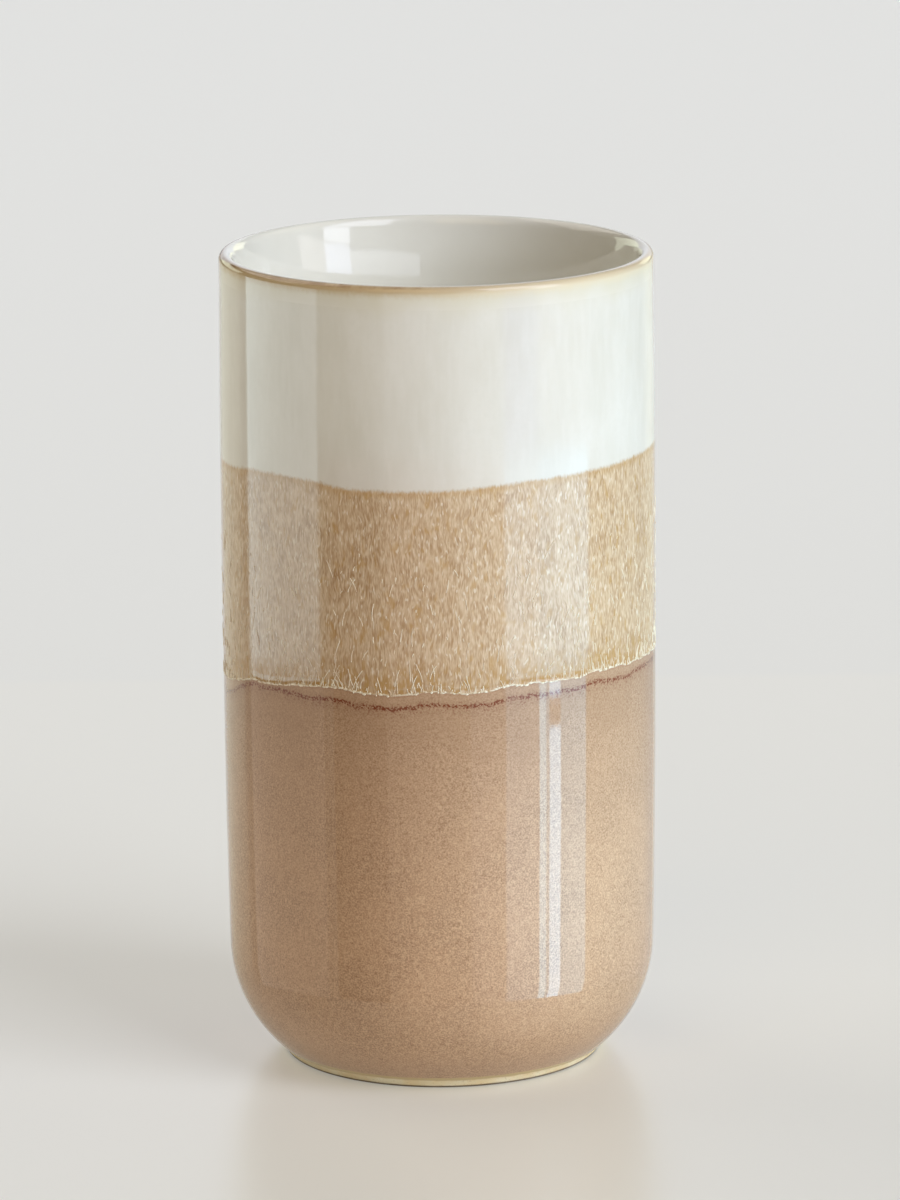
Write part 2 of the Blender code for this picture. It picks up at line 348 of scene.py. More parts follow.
def tree_with(name, inputs):
    """A geometry tree with these named inputs, its nodes in the making, and the wire of its inputs."""
    tree = bpy.data.node_groups.new(name, "GeometryNodeTree")
    for label, kind, value in inputs:
        socket = tree.interface.new_socket(label, in_out="INPUT", socket_type="NodeSocket" + kind)
        if value is not None:
            socket.default_value = value
    tree.interface.new_socket("Piece", in_out="OUTPUT", socket_type="NodeSocketGeometry")
    nodes = Nodes(tree)
    return tree, nodes, nodes.add("NodeGroupInput")


# How far the wall is out of true. It comes in over these heights, and out from the axis to this radius.
UNEVENNESS = 0.00007
UNEVENNESS_SIZE = 0.022
UNEVENNESS_HEIGHTS = (0.002, 0.015)
UNEVENNESS_RADIUS = 0.02


def out_of_true(nodes, place, amount):
    """How far the turned wall stands in or out at a place."""
    return (nodes.noise(place, UNEVENNESS_SIZE) - 0.5) * amount


def turning_tree():
    """Turns a section about the axis. Its points follow the dip lines by their shares in "follows"."""
    tree, nodes, given = tree_with("turned_on_the_wheel", (
        ("Section", "Geometry", None),
        ("Sides", "Int", 384),
        ("Unevenness", "Float", UNEVENNESS),
        ("Sharp Angle", "Float", 0.6),
        ("Merge Distance", "Float", 0.0000005),
        ("Material", "Material", None),
    ))
    section = given.beside("Section")
    sides = given.beside("Sides")
    count = nodes.add("GeometryNodeAttributeDomainSize", {"component": "MESH"}, {"Geometry": section})
    sheet = nodes.add("GeometryNodeMeshGrid", {}, {"Vertices X": sides + 1, "Vertices Y": count})
    index = nodes.add("GeometryNodeInputIndex")
    column = index.worked("FLOOR", (index + 0.5) / count)
    row = index - column * count

    def at_row(value):
        """A vector of the section's point that belongs to this row, in its three parts."""
        settings = {"data_type": "FLOAT_VECTOR", "domain": "POINT"}
        sockets = {"Geometry": section, "Value": value, "Index": row}
        found = nodes.add("GeometryNodeSampleIndex", settings, sockets)
        return nodes.add("ShaderNodeSeparateXYZ", {}, {"Vector": found})

    shares = {"data_type": "FLOAT_VECTOR"}
    point = at_row(nodes.add("GeometryNodeInputPosition"))
    follows = at_row(nodes.add("GeometryNodeInputNamedAttribute", shares, {"Name": "follows"}))

    turn = column / sides
    white, tan = dip_lines(nodes, turn)
    height = (
        point.beside("Z")
        + follows.beside("X") * (white - WHITE_LINE_HEIGHT)
        + follows.beside("Y") * (tan - TAN_LINE_HEIGHT)
    )
    cosine = turn.worked("COSINE", turn * math.tau)
    sine = turn.worked("SINE", turn * math.tau)
    place = nodes.add("ShaderNodeCombineXYZ", {}, {"X": point * cosine, "Y": point * sine, "Z": height})
    swell = out_of_true(nodes, place, given.beside("Unevenness")) * height.rise(*UNEVENNESS_HEIGHTS)
    radius = point + swell * point.rise(0.0, UNEVENNESS_RADIUS)
    place = nodes.add("ShaderNodeCombineXYZ", {}, {"X": radius * cosine, "Y": radius * sine, "Z": height})

    made = nodes.add("GeometryNodeSetPosition", {}, {"Geometry": sheet, "Position": place})
    iron = tan + course_rise(nodes, turn, IRON_LINE_COURSE)
    for name, line in (("above_white", white), ("above_tan", tan), ("above_iron", iron)):
        made = nodes.add(
            "GeometryNodeStoreNamedAttribute",
            {"data_type": "FLOAT", "domain": "POINT"},
            {"Geometry": made, "Name": name, "Value": height - line},
        )
    distance = given.beside("Merge Distance")
    made = nodes.add("GeometryNodeMergeByDistance", {}, {"Geometry": made, "Distance": distance})
    made = nodes.add("GeometryNodeFlipFaces", {}, {"Mesh": made})
    made = nodes.add(
        "GeometryNodeSetShadeSmooth",
        {"domain": "FACE"},
        {"Geometry": made, "Shade Smooth": True},
    )
    angle = nodes.add("GeometryNodeInputMeshEdgeAngle")
    sharp = angle.worked("GREATER_THAN", angle, given.beside("Sharp Angle"))
    made = nodes.add(
        "GeometryNodeSetShadeSmooth",
        {"domain": "EDGE"},
        {"Geometry": made, "Selection": sharp, "Shade Smooth": False},
    )
    made = nodes.add("GeometryNodeRealizeInstances", {}, {"Geometry": made})
    made = nodes.add("GeometryNodeSetMaterial", {}, {"Geometry": made, "Material": given.beside("Material")})
    nodes.add("NodeGroupOutput", {}, {"Piece": made})
    return tree


def grown(name, base, tree, inputs):
    """Runs a geometry tree on a base mesh and keeps the result as a plain mesh object."""
    carrier = bpy.data.objects.new(name + "_base", base)
    bpy.context.scene.collection.objects.link(carrier)
    modifier = carrier.modifiers.new("growing", "NODES")
    modifier.node_group = tree
    for item in tree.interface.items_tree:
        if item.in_out == "INPUT" and item.name in inputs:
            modifier[item.identifier] = inputs[item.name]
    depsgraph = bpy.context.evaluated_depsgraph_get()
    depsgraph.update()
    mesh = bpy.data.meshes.new_from_object(carrier.evaluated_get(depsgraph))
    carrier.modifiers.remove(modifier)
    bpy.data.objects.remove(carrier)
    mesh.name = name
    piece = bpy.data.objects.new(name, mesh)
    bpy.context.scene.collection.objects.link(piece)
    return piece


turning = turning_tree()


def turned(name, points, material):
    """A piece turned from points (r, z) or (r, z, share of the white line, share of the tan line)."""
    points = [(*point, 0.0, 0.0)[:4] for point in points]
    if points[0][0] > 0:
        points.append(points[0])
    section = bpy.data.meshes.new(name + "_section")
    edges = [(i, i + 1) for i in range(len(points) - 1)]
    section.from_pydata([(r, 0.0, z) for r, z, _, _ in points], edges, [])
    follows = section.attributes.new("follows", "FLOAT_VECTOR", "POINT")
    for item, (_, _, white_share, tan_share) in zip(follows.data, points):
        item.vector = (white_share, tan_share, 0.0)
    return grown(name, section, turning, {"Material": material})


def fired(name, paint, **constants):
    """A material on one shader. paint(nodes, place) gives its Base Color, and may give other sockets."""
    material = bpy.data.materials.new(name)
    material.use_nodes = True
    nodes = Nodes(material.node_tree)
    place = nodes.add("ShaderNodeTexCoord", output="Object")
    sockets = {label.replace("_", " "): value for label, value in constants.items()}
    sockets.update(paint(nodes, place))
    shader = nodes.add("ShaderNodeBsdfPrincipled", {}, sockets)
    nodes.add("ShaderNodeOutputMaterial", {}, {"Surface": shader})
    return material


def relief(nodes, height, depth):
    """A Normal from a height between 0 and 1 that stands for this depth in metres."""
    return nodes.add("ShaderNodeBump", {}, {"Height": height, "Distance": depth, "Strength": 1.0})


def height_of(nodes, place):
    return nodes.add("ShaderNodeSeparateXYZ", {}, {"Vector": place}, output="Z")


SAND_DARK = (0.90, 0.74, 0.46)
SAND_LIGHT = (0.96, 0.87, 0.64)
SAND_GRAIN = (0.48, 0.33, 0.15)
SCORCH = (0.56, 0.39, 0.15)
# The darkest colour of the foot is a painted contact shadow along its lowest edge, where it meets the floor.
CONTACT_SHADOW = (0.09, 0.055, 0.03)
SCORCH_HEIGHTS = (0.00125, 0.0016)
CONTACT_SHADOW_HEIGHTS = (0.00048, 0.00022)


def stoneware(nodes, place):
    """Sandy cream clay, scorched golden along the glaze, with a painted contact shadow darkening its lowest
    edge where it stands.
    """
    height = height_of(nodes, place)
    grain = nodes.noise(place, size=0.00035, detail=3.0)
    cloud = nodes.noise(place, size=0.004, detail=2.0, shift=3.0)
    colour = nodes.blend(cloud.rise(0.3, 0.7), SAND_DARK, SAND_LIGHT)
    colour = nodes.blend(grain.rise(0.58, 0.72) * 0.4, colour, SAND_GRAIN)
    wander = nodes.noise(place, size=0.0022, detail=3.0, shift=7.0) - 0.5
    colour = nodes.blend((height + wander * 0.0007).rise(*SCORCH_HEIGHTS) * 0.6, colour, SCORCH)
    # Painted contact shadow: the lowest edge of the foot is darkened where it meets the floor.
    colour = nodes.blend((height + wander * 0.0001).rise(*CONTACT_SHADOW_HEIGHTS) * 0.9, colour, CONTACT_SHADOW)
    return {"Base Color": colour, "Normal": relief(nodes, grain, depth=0.00005)}


def clay_section():
    inside_heights = along(CORNER_CENTRE[1], lip_join_height(GLAZE_THICKNESS), steps=16)[1:-1]
    outside_heights = along(LIP_CENTRE[1], CORNER_TOP, steps=20)[1:-1]
    ledge_radius = CORNER_RADIUS - LEDGE_DEPTH
    ledge_angle = base_angle(LEDGE_DEPTH, FOOT_HEIGHT)
    outer_edge = (FOOT_RADIUS - FOOT_EDGE_ROUND, FOOT_EDGE_ROUND)
    inner_edge = (RECESS_RADIUS + FOOT_EDGE_ROUND, FOOT_EDGE_ROUND)
    return [
        *cavity_floor(GLAZE_THICKNESS, steps=6),
        *cavity_wall(GLAZE_THICKNESS, inside_heights),
        *crown(GLAZE_THICKNESS, steps=8),
        *outside_wall(GLAZE_THICKNESS, outside_heights),
        *base_round(GLAZE_THICKNESS, steps=16),
        on_circle(CORNER_CENTRE, ledge_radius, ledge_angle),
        *arc(outer_edge, FOOT_EDGE_ROUND, 0.0, -math.pi / 2, steps=6),
        *arc(inner_edge, FOOT_EDGE_ROUND, -math.pi / 2, -math.pi, steps=6),
        *recess_ceiling(GLAZE_THICKNESS, steps=6),
    ]


clay_body = turned("clay_body_turned", clay_section(), fired("bare_stoneware", stoneware, Roughness=0.85))
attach(clay_body, "root")
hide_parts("clay_body")


# Recess glaze
# A puddle of the white glaze covers the shallow recess inside the foot ring. It was poured in and wiped
# off the ring, so it stays clear of the shelf.
RECESS_SHADE = (0.70, 0.66, 0.56)
RECESS_BODY = (0.80, 0.78, 0.71)


def recess_white(nodes, place):
    cloud = nodes.noise(place, size=0.006, detail=2.0)
    return {"Base Color": nodes.blend(cloud, RECESS_SHADE, RECESS_BODY)}


def coat(surface, seat):
    """A closed section: along the surface of a coat, and back along the clay that it lies on."""
    return surface + seat[::-1]


recess_glaze = turned(
    "recess_glaze_poured",
    coat(recess_ceiling(GLAZE_THICKNESS, steps=6)[::-1], recess_ceiling(0.0, steps=6)[::-1]),
    fired("recess_glaze", recess_white, Roughness=0.12, IOR=1.5),
)
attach(recess_glaze, "root")
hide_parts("recess_glaze")


# Lip colours
# Glaze runs off an edge as it melts, so over the outer shoulder of the lip it is thin and breaks to gold and
# tan. The coat below takes the last of that warmth in a soft halo.
LIP_EDGE = 0.1283
SHOULDER_RADII = (CREST_RADIUS + 0.0001, CREST_RADIUS + 0.0008)
HALO_HEIGHTS = (0.1262, 0.1313)
GOLD_HEIGHTS = (0.12960, 0.13115)
BROWN_HEIGHTS = (0.13120, 0.13170)
GOLD_TO_PEACH = (-0.016, 0.020)
LIP_GOLD = (0.50, 0.345, 0.175)
LIP_PEACH = (0.68, 0.56, 0.38)
LIP_HALO = (0.62, 0.53, 0.37)
LIP_BROWN = (0.24, 0.12, 0.05)


def radius_of(nodes, place):
    level = nodes.vector("MULTIPLY", place, (1.0, 1.0, 0.0))
    return nodes.add("ShaderNodeVectorMath", {"operation": "LENGTH"}, {0: level}, output="Value")


def broken_lip(nodes, place, colour):
    """Lays the warm colours of the lip over the colour of a coat, on the outer shoulder of the lip."""
    height = height_of(nodes, place)
    radius = radius_of(nodes, place)
    rightward = nodes.add("ShaderNodeSeparateXYZ", {}, {"Vector": place}).rise(*GOLD_TO_PEACH)
    slow = nodes.noise(place, size=0.009, detail=2.0, shift=11.0) - 0.5
    blotch = nodes.noise(place, size=0.0025, detail=3.0, shift=12.0) - 0.5
    fine = nodes.noise(place, size=0.0005, detail=2.0, stretch=1.6, shift=5.0) - 0.5
    outward = (radius + fine * 0.0002).rise(*SHOULDER_RADII)
    halo = (height + slow * 0.0050 + blotch * 0.0012 + fine * 0.0005).rise(*HALO_HEIGHTS) * outward
    gold = (height + slow * 0.0008 + blotch * 0.0005 + fine * 0.0005).rise(*GOLD_HEIGHTS) * outward
    line = (height + fine * 0.0003 - rightward * 0.0006).rise(*BROWN_HEIGHTS) * outward
    colour = nodes.blend(halo * 0.68, colour, LIP_HALO)
    colour = nodes.blend(gold * 0.86, colour, nodes.blend(rightward, LIP_GOLD, LIP_PEACH))
    return nodes.blend(line * (1 - rightward) * (blotch + 0.5).rise(0.30, 0.60) * 0.6, colour, LIP_BROWN)


# Liner glaze
# The inside is glazed first, with a white glaze that is poured in and out again. It lies glossy over the
# wall and the floor.
LINER_SHADE = (0.790, 0.785, 0.720)
LINER_BODY = (0.842, 0.839, 0.782)


def inside_white(nodes, place):
    cloud = nodes.noise(place, size=0.009, detail=3.0, shift=2.0)
    return nodes.blend(cloud, LINER_SHADE, LINER_BODY)


def liner_white(nodes, place):
    soft = nodes.noise(place, size=0.004, detail=1.0, shift=9.0)
    return {"Base Color": inside_white(nodes, place), "Normal": relief(nodes, soft, depth=0.00002)}


liner_heights = along(LIP_JOIN[1] - LIP_FLARE_HEIGHT, LIP_EDGE, steps=24)
liner_heights = along(CORNER_CENTRE[1], liner_heights[0], steps=12)[1:-1] + liner_heights
liner_seat_heights = liner_heights[::3] + [LIP_EDGE]
liner_glaze = turned(
    "liner_glaze_poured",
    coat(
        cavity_floor(0.0, steps=14) + cavity_wall(0.0, liner_heights),
        cavity_floor(GLAZE_THICKNESS, steps=6) + cavity_wall(GLAZE_THICKNESS, liner_seat_heights),
    ),
    fired("liner_glaze", liner_white, Roughness=0.06, IOR=1.5),
)
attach(liner_glaze, "root")
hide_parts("liner_glaze")


# Rose glaze
# The tumbler is dipped foot first, up to the lower dip line, in an iron glaze that fires to a rose brown.
# Its skin is glossy and finely speckled.
def attribute(nodes, name):
    return nodes.add("ShaderNodeAttribute", {"attribute_name": name}, output="Fac")


ROSE_DARK = (0.343, 0.193, 0.105)
ROSE_MIDDLE = (0.436, 0.251, 0.138)
ROSE_LIGHT = (0.707, 0.467, 0.287)
ROSE_FLECK = (0.247, 0.121, 0.060)
ROSE_DEEP = (0.285, 0.159, 0.084)
ROSE_PINK = (0.578, 0.358, 0.223)
IRON_RED = (0.19, 0.045, 0.018)
ROSE_GREY = (0.454, 0.300, 0.196)
ROSE_EDGE = (0.62, 0.47, 0.23)

# Where they lie: above the lower dip line, above the broken line of iron, and above the shelf.
THICK_ABOVE_TAN = (-0.042, -0.003)
THICKEST_ABOVE_TAN = (-0.013, -0.004)
# The band just under the bead holds a painted shadow.
BEAD_SHADOW_ABOVE_TAN = (-0.0005, -0.0001)
PINK_ABOVE_IRON = (-0.0002, 0.0004)
CORE_FROM_IRON = (0.00048, 0.00016)
WIDE_BELOW_IRON = (-0.0022, -0.0002)
WIDE_ABOVE_IRON = (0.0012, 0.0002)
GREY_HEIGHTS = (0.0085, 0.0025)
EDGE_HEIGHTS = (0.00230, 0.00195)


def rose(nodes, place):
    above = attribute(nodes, "above_tan")
    iron = attribute(nodes, "above_iron")
    height = height_of(nodes, place)
    cloud = nodes.noise(place, size=0.0085, detail=3.0, shift=1.0).rise(0.30, 0.70)
    speckle = nodes.noise(place, size=0.00026, detail=1.0, shift=4.0)
    grain = nodes.noise(place, size=0.0009, detail=1.0, shift=35.0)
    ground = nodes.blend(cloud, ROSE_DARK, ROSE_MIDDLE)
    colour = nodes.blend((speckle * 0.85 + grain * 0.15).rise(0.19, 0.81), ground, ROSE_LIGHT)
    fleck = nodes.noise(place, size=0.00045, shift=31.0)
    colour = nodes.blend(fleck.rise(0.70, 0.80) * 0.4, colour, ROSE_FLECK)

    # It lies thicker, and darker, towards the dip line.
    thick = above.rise(*THICK_ABOVE_TAN) * 0.34
    thickest = (above + (cloud - 0.5) * 0.010).rise(*THICKEST_ABOVE_TAN) * 0.16
    colour = nodes.blend(thick + thickest, colour, ROSE_DEEP)

    # Between the bead and a broken line of iron the coat is a little paler.
    wander = nodes.noise(place, size=0.0020, detail=3.0, shift=6.0) - 0.5
    near = iron + wander * 0.0005
    colour = nodes.blend(near.rise(*PINK_ABOVE_IRON) * 0.12, colour, ROSE_PINK)
    squiggle = nodes.noise(place, size=0.00055, detail=2.0, shift=8.0)
    vein = abs(squiggle - 0.5).rise(0.060, 0.015)
    dots = nodes.noise(place, size=0.00034, detail=1.0, shift=33.0)
    core = abs(near).rise(*CORE_FROM_IRON)
    wide = near.rise(*WIDE_BELOW_IRON) * near.rise(*WIDE_ABOVE_IRON)
    colour = nodes.blend(wide * 0.30, colour, ROSE_DARK)
    colour = nodes.blend(core * (vein * 0.6).larger(dots.rise(0.47, 0.53)) * 0.95, colour, IRON_RED)
    colour = nodes.blend(wide * dots.rise(0.56, 0.66) * 0.60, colour, IRON_RED)
    # A painted shadow darkens the coat just under the bead.
    colour = nodes.blend(above.rise(*BEAD_SHADOW_ABOVE_TAN) * 0.35, colour, ROSE_DARK)

    # Towards the foot the coat thins and turns greyer, and it ends in a thin olive edge.
    low = (height + wander * 0.0012).rise(*GREY_HEIGHTS)
    colour = nodes.blend(low * 0.30, colour, ROSE_GREY)
    edge = (height + wander * 0.0003).rise(*EDGE_HEIGHTS)
    colour = nodes.blend(edge * 0.9, colour, ROSE_EDGE)
    return {
        "Base Color": colour,
        "Roughness": 0.02 + speckle * 0.02,
        "Normal": relief(nodes, speckle, depth=0.0000008),
    }


def dipped(points, low, high, white_shares=(0.0, 0.0), tan_shares=(0.0, 0.0)):
    """Gives each point its shares in the dip lines, which change evenly from one height to another."""
    made = []
    for r, z in points:
        share = clamped((z - low) / (high - low))
        white = white_shares[0] + (white_shares[1] - white_shares[0]) * share
        tan = tan_shares[0] + (tan_shares[1] - tan_shares[0]) * share
        made.append((r, z, white, tan))
    return made


def rose_side(depth, round_steps, wall_steps):
    points = base_round(depth, round_steps)[::-1]
    points += outside_wall(depth, along(CORNER_TOP, TAN_LINE_HEIGHT, wall_steps)[1:])
    return dipped(points, CORNER_TOP, TAN_LINE_HEIGHT, tan_shares=(0.0, 1.0))


rose_glaze = turned(
    "rose_glaze_dipped",
    coat(
        rose_side(0.0, round_steps=44, wall_steps=28),
        rose_side(GLAZE_THICKNESS, round_steps=12, wall_steps=3),
    )[::-1],
    fired("rose_glaze", rose, IOR=1.5),
)
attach(rose_glaze, "root")
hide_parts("rose_glaze")


# Tan glaze
# The middle band is a reactive glaze. It ran a little in the kiln, which drew fine cream threads down it
# and left a bead along the lower dip line.
BEAD_HEIGHT = 0.00034
BEAD_PROUD = 0.00006
TAN_DARK = (0.366, 0.209, 0.091)
TAN_MIDDLE = (0.468, 0.297, 0.155)
TAN_LIGHT = (0.655, 0.484, 0.315)
TAN_CREAM = (0.806, 0.693, 0.535)
TAN_OCHRE = (0.449, 0.253, 0.077)
BEAD_CREAM = (0.806, 0.693, 0.509)
WHITE_SHADE = (0.637, 0.569, 0.472)
WHITE_BODY = (0.692, 0.623, 0.531)
WHITE_RUN = (0.719, 0.652, 0.572)
SWAYS_PER_METRE = 260.0
SWAY = (0.0010, 0.0010, 0.0)

# Where they lie: above the lower and above the upper dip line.
DEEP_ABOVE_TAN = (0.0070, 0.0012)
BEAD_ABOVE_TAN = (BEAD_HEIGHT * 1.1, BEAD_HEIGHT * 0.6)
FRINGE_ABOVE_WHITE = (-0.00045, 0.00040)
SHADE_ABOVE_WHITE = (-0.0016, -0.0004)


def tan_threads(nodes, place):
    """The colour of the running glaze, with its threads and golden pools."""
    above = attribute(nodes, "above_tan")
    sways = {"Vector": place, "Scale": SWAYS_PER_METRE, "Detail": 1.0}
    sway = nodes.add("ShaderNodeTexNoise", {}, sways, output="Color")
    place = nodes.vector("MULTIPLY_ADD", sway, SWAY, place)
    patch = nodes.noise(place, size=0.0040, detail=3.0, stretch=1.5, shift=1.5).rise(0.3, 0.7)
    grain = nodes.noise(place, size=0.00021, detail=1.0, stretch=6.0, shift=2.5)
    fibre = nodes.noise(place, size=0.00050, detail=1.5, stretch=4.0, shift=3.5)
    ground = nodes.blend(patch, TAN_DARK, TAN_MIDDLE)
    colour = nodes.blend((grain * 0.62 + fibre * 0.38).rise(0.30, 0.70), ground, TAN_LIGHT)
    streak = nodes.noise(place, size=0.0011, detail=2.0, stretch=2.6, shift=12.0)
    colour = nodes.blend(streak.rise(0.56, 0.70) * 0.6, colour, TAN_OCHRE)

    # Golden pools stand between the threads, most of them just over the bead.
    pool = nodes.noise(place, size=0.0011, detail=2.0, stretch=2.6, shift=14.0)
    deep = above.rise(*DEEP_ABOVE_TAN)
    pool = (pool + deep * 0.14).rise(0.56, 0.68) * deep * (1 - grain.rise(0.50, 0.72) * 0.6)
    colour = nodes.blend(pool * 0.8, colour, TAN_OCHRE)
    colour = nodes.blend(deep * 0.16, colour, TAN_DARK)
    thread = nodes.noise(place, size=0.00028, detail=0.5, stretch=4.0, shift=22.0)
    colour = nodes.blend(thread.rise(0.62, 0.76) * 0.6, colour, TAN_CREAM)
    fray = nodes.noise(place, size=0.0007, detail=2.0, shift=21.0)
    bead = (above + (fray - 0.5) * 0.0006).rise(*BEAD_ABOVE_TAN)
    colour = nodes.blend(bead * fray.rise(0.42, 0.54) * 0.8, colour, BEAD_CREAM)
    return colour, grain


def under_white(nodes, place, colour):
    """Lays the white coat over the tan colour, down to the frayed upper dip line."""
    above = attribute(nodes, "above_white")
    fringe = nodes.noise(place, size=0.0004, detail=2.0, stretch=2.0, shift=17.0) - 0.5
    slow = nodes.noise(place, size=0.003, detail=1.0, shift=18.0) - 0.5
    cloud = nodes.noise(place, size=0.008, detail=3.0, stretch=2.0, shift=19.0).rise(0.25, 0.75)
    run = nodes.noise(place, size=0.0011, detail=2.0, stretch=6.0, shift=20.0)
    mottle = nodes.noise(place, size=0.0009, detail=3.0, shift=34.0)
    white = nodes.blend(cloud, WHITE_SHADE, WHITE_BODY)
    white = nodes.blend(run.rise(0.35, 0.75) * 0.3, white, WHITE_RUN)
    white = nodes.blend(mottle.rise(0.40, 0.75) * 0.22, white, WHITE_SHADE)
    thin = above + fringe * 0.0009 + slow * 0.0003
    colour = nodes.blend(thin.rise(*SHADE_ABOVE_WHITE) * 0.40, colour, TAN_OCHRE)
    return nodes.blend(thin.rise(*FRINGE_ABOVE_WHITE), colour, white)


def tan(nodes, place):
    colour, grain = tan_threads(nodes, place)
    return {
        "Base Color": under_white(nodes, place, colour),
        "Roughness": 0.06 + grain * 0.05,
        "Normal": relief(nodes, grain, depth=0.000004),
    }


def tan_surface():
    bead = []
    for share in along(0.0, 1.0, steps=8):
        height = TAN_LINE_HEIGHT + share * BEAD_HEIGHT
        bead.append((outside_radius(height) + BEAD_PROUD * math.sin(math.pi * share), height))
    heights = along(TAN_LINE_HEIGHT + BEAD_HEIGHT, WHITE_LINE_HEIGHT, steps=30)[1:]
    return bead + outside_wall(0.0, heights)


def between_lines(points):
    return dipped(points, TAN_LINE_HEIGHT + BEAD_HEIGHT, WHITE_LINE_HEIGHT, (0.0, 1.0), (1.0, 0.0))


tan_seat = outside_wall(GLAZE_THICKNESS, along(TAN_LINE_HEIGHT, WHITE_LINE_HEIGHT, steps=4))
tan_glaze = turned(
    "tan_glaze_dipped",
    coat(between_lines(tan_surface()), between_lines(tan_seat))[::-1],
    fired("tan_glaze", tan, IOR=1.5),
)
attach(tan_glaze, "root")
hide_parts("tan_glaze")


# Threads and drops
# The glaze that ran drew fine cream threads out of the bead, and it set in small drops along the bead's
# lower edge. Both are of the same glaze as the band and are fused to it.
THREAD_END = 0.45
BEAD_ODDS = 0.35
DROP_SHIFT = 0.45
DROP_HEIGHTS = (0.00002, 0.00022)
DROP_FLATNESS = 0.34


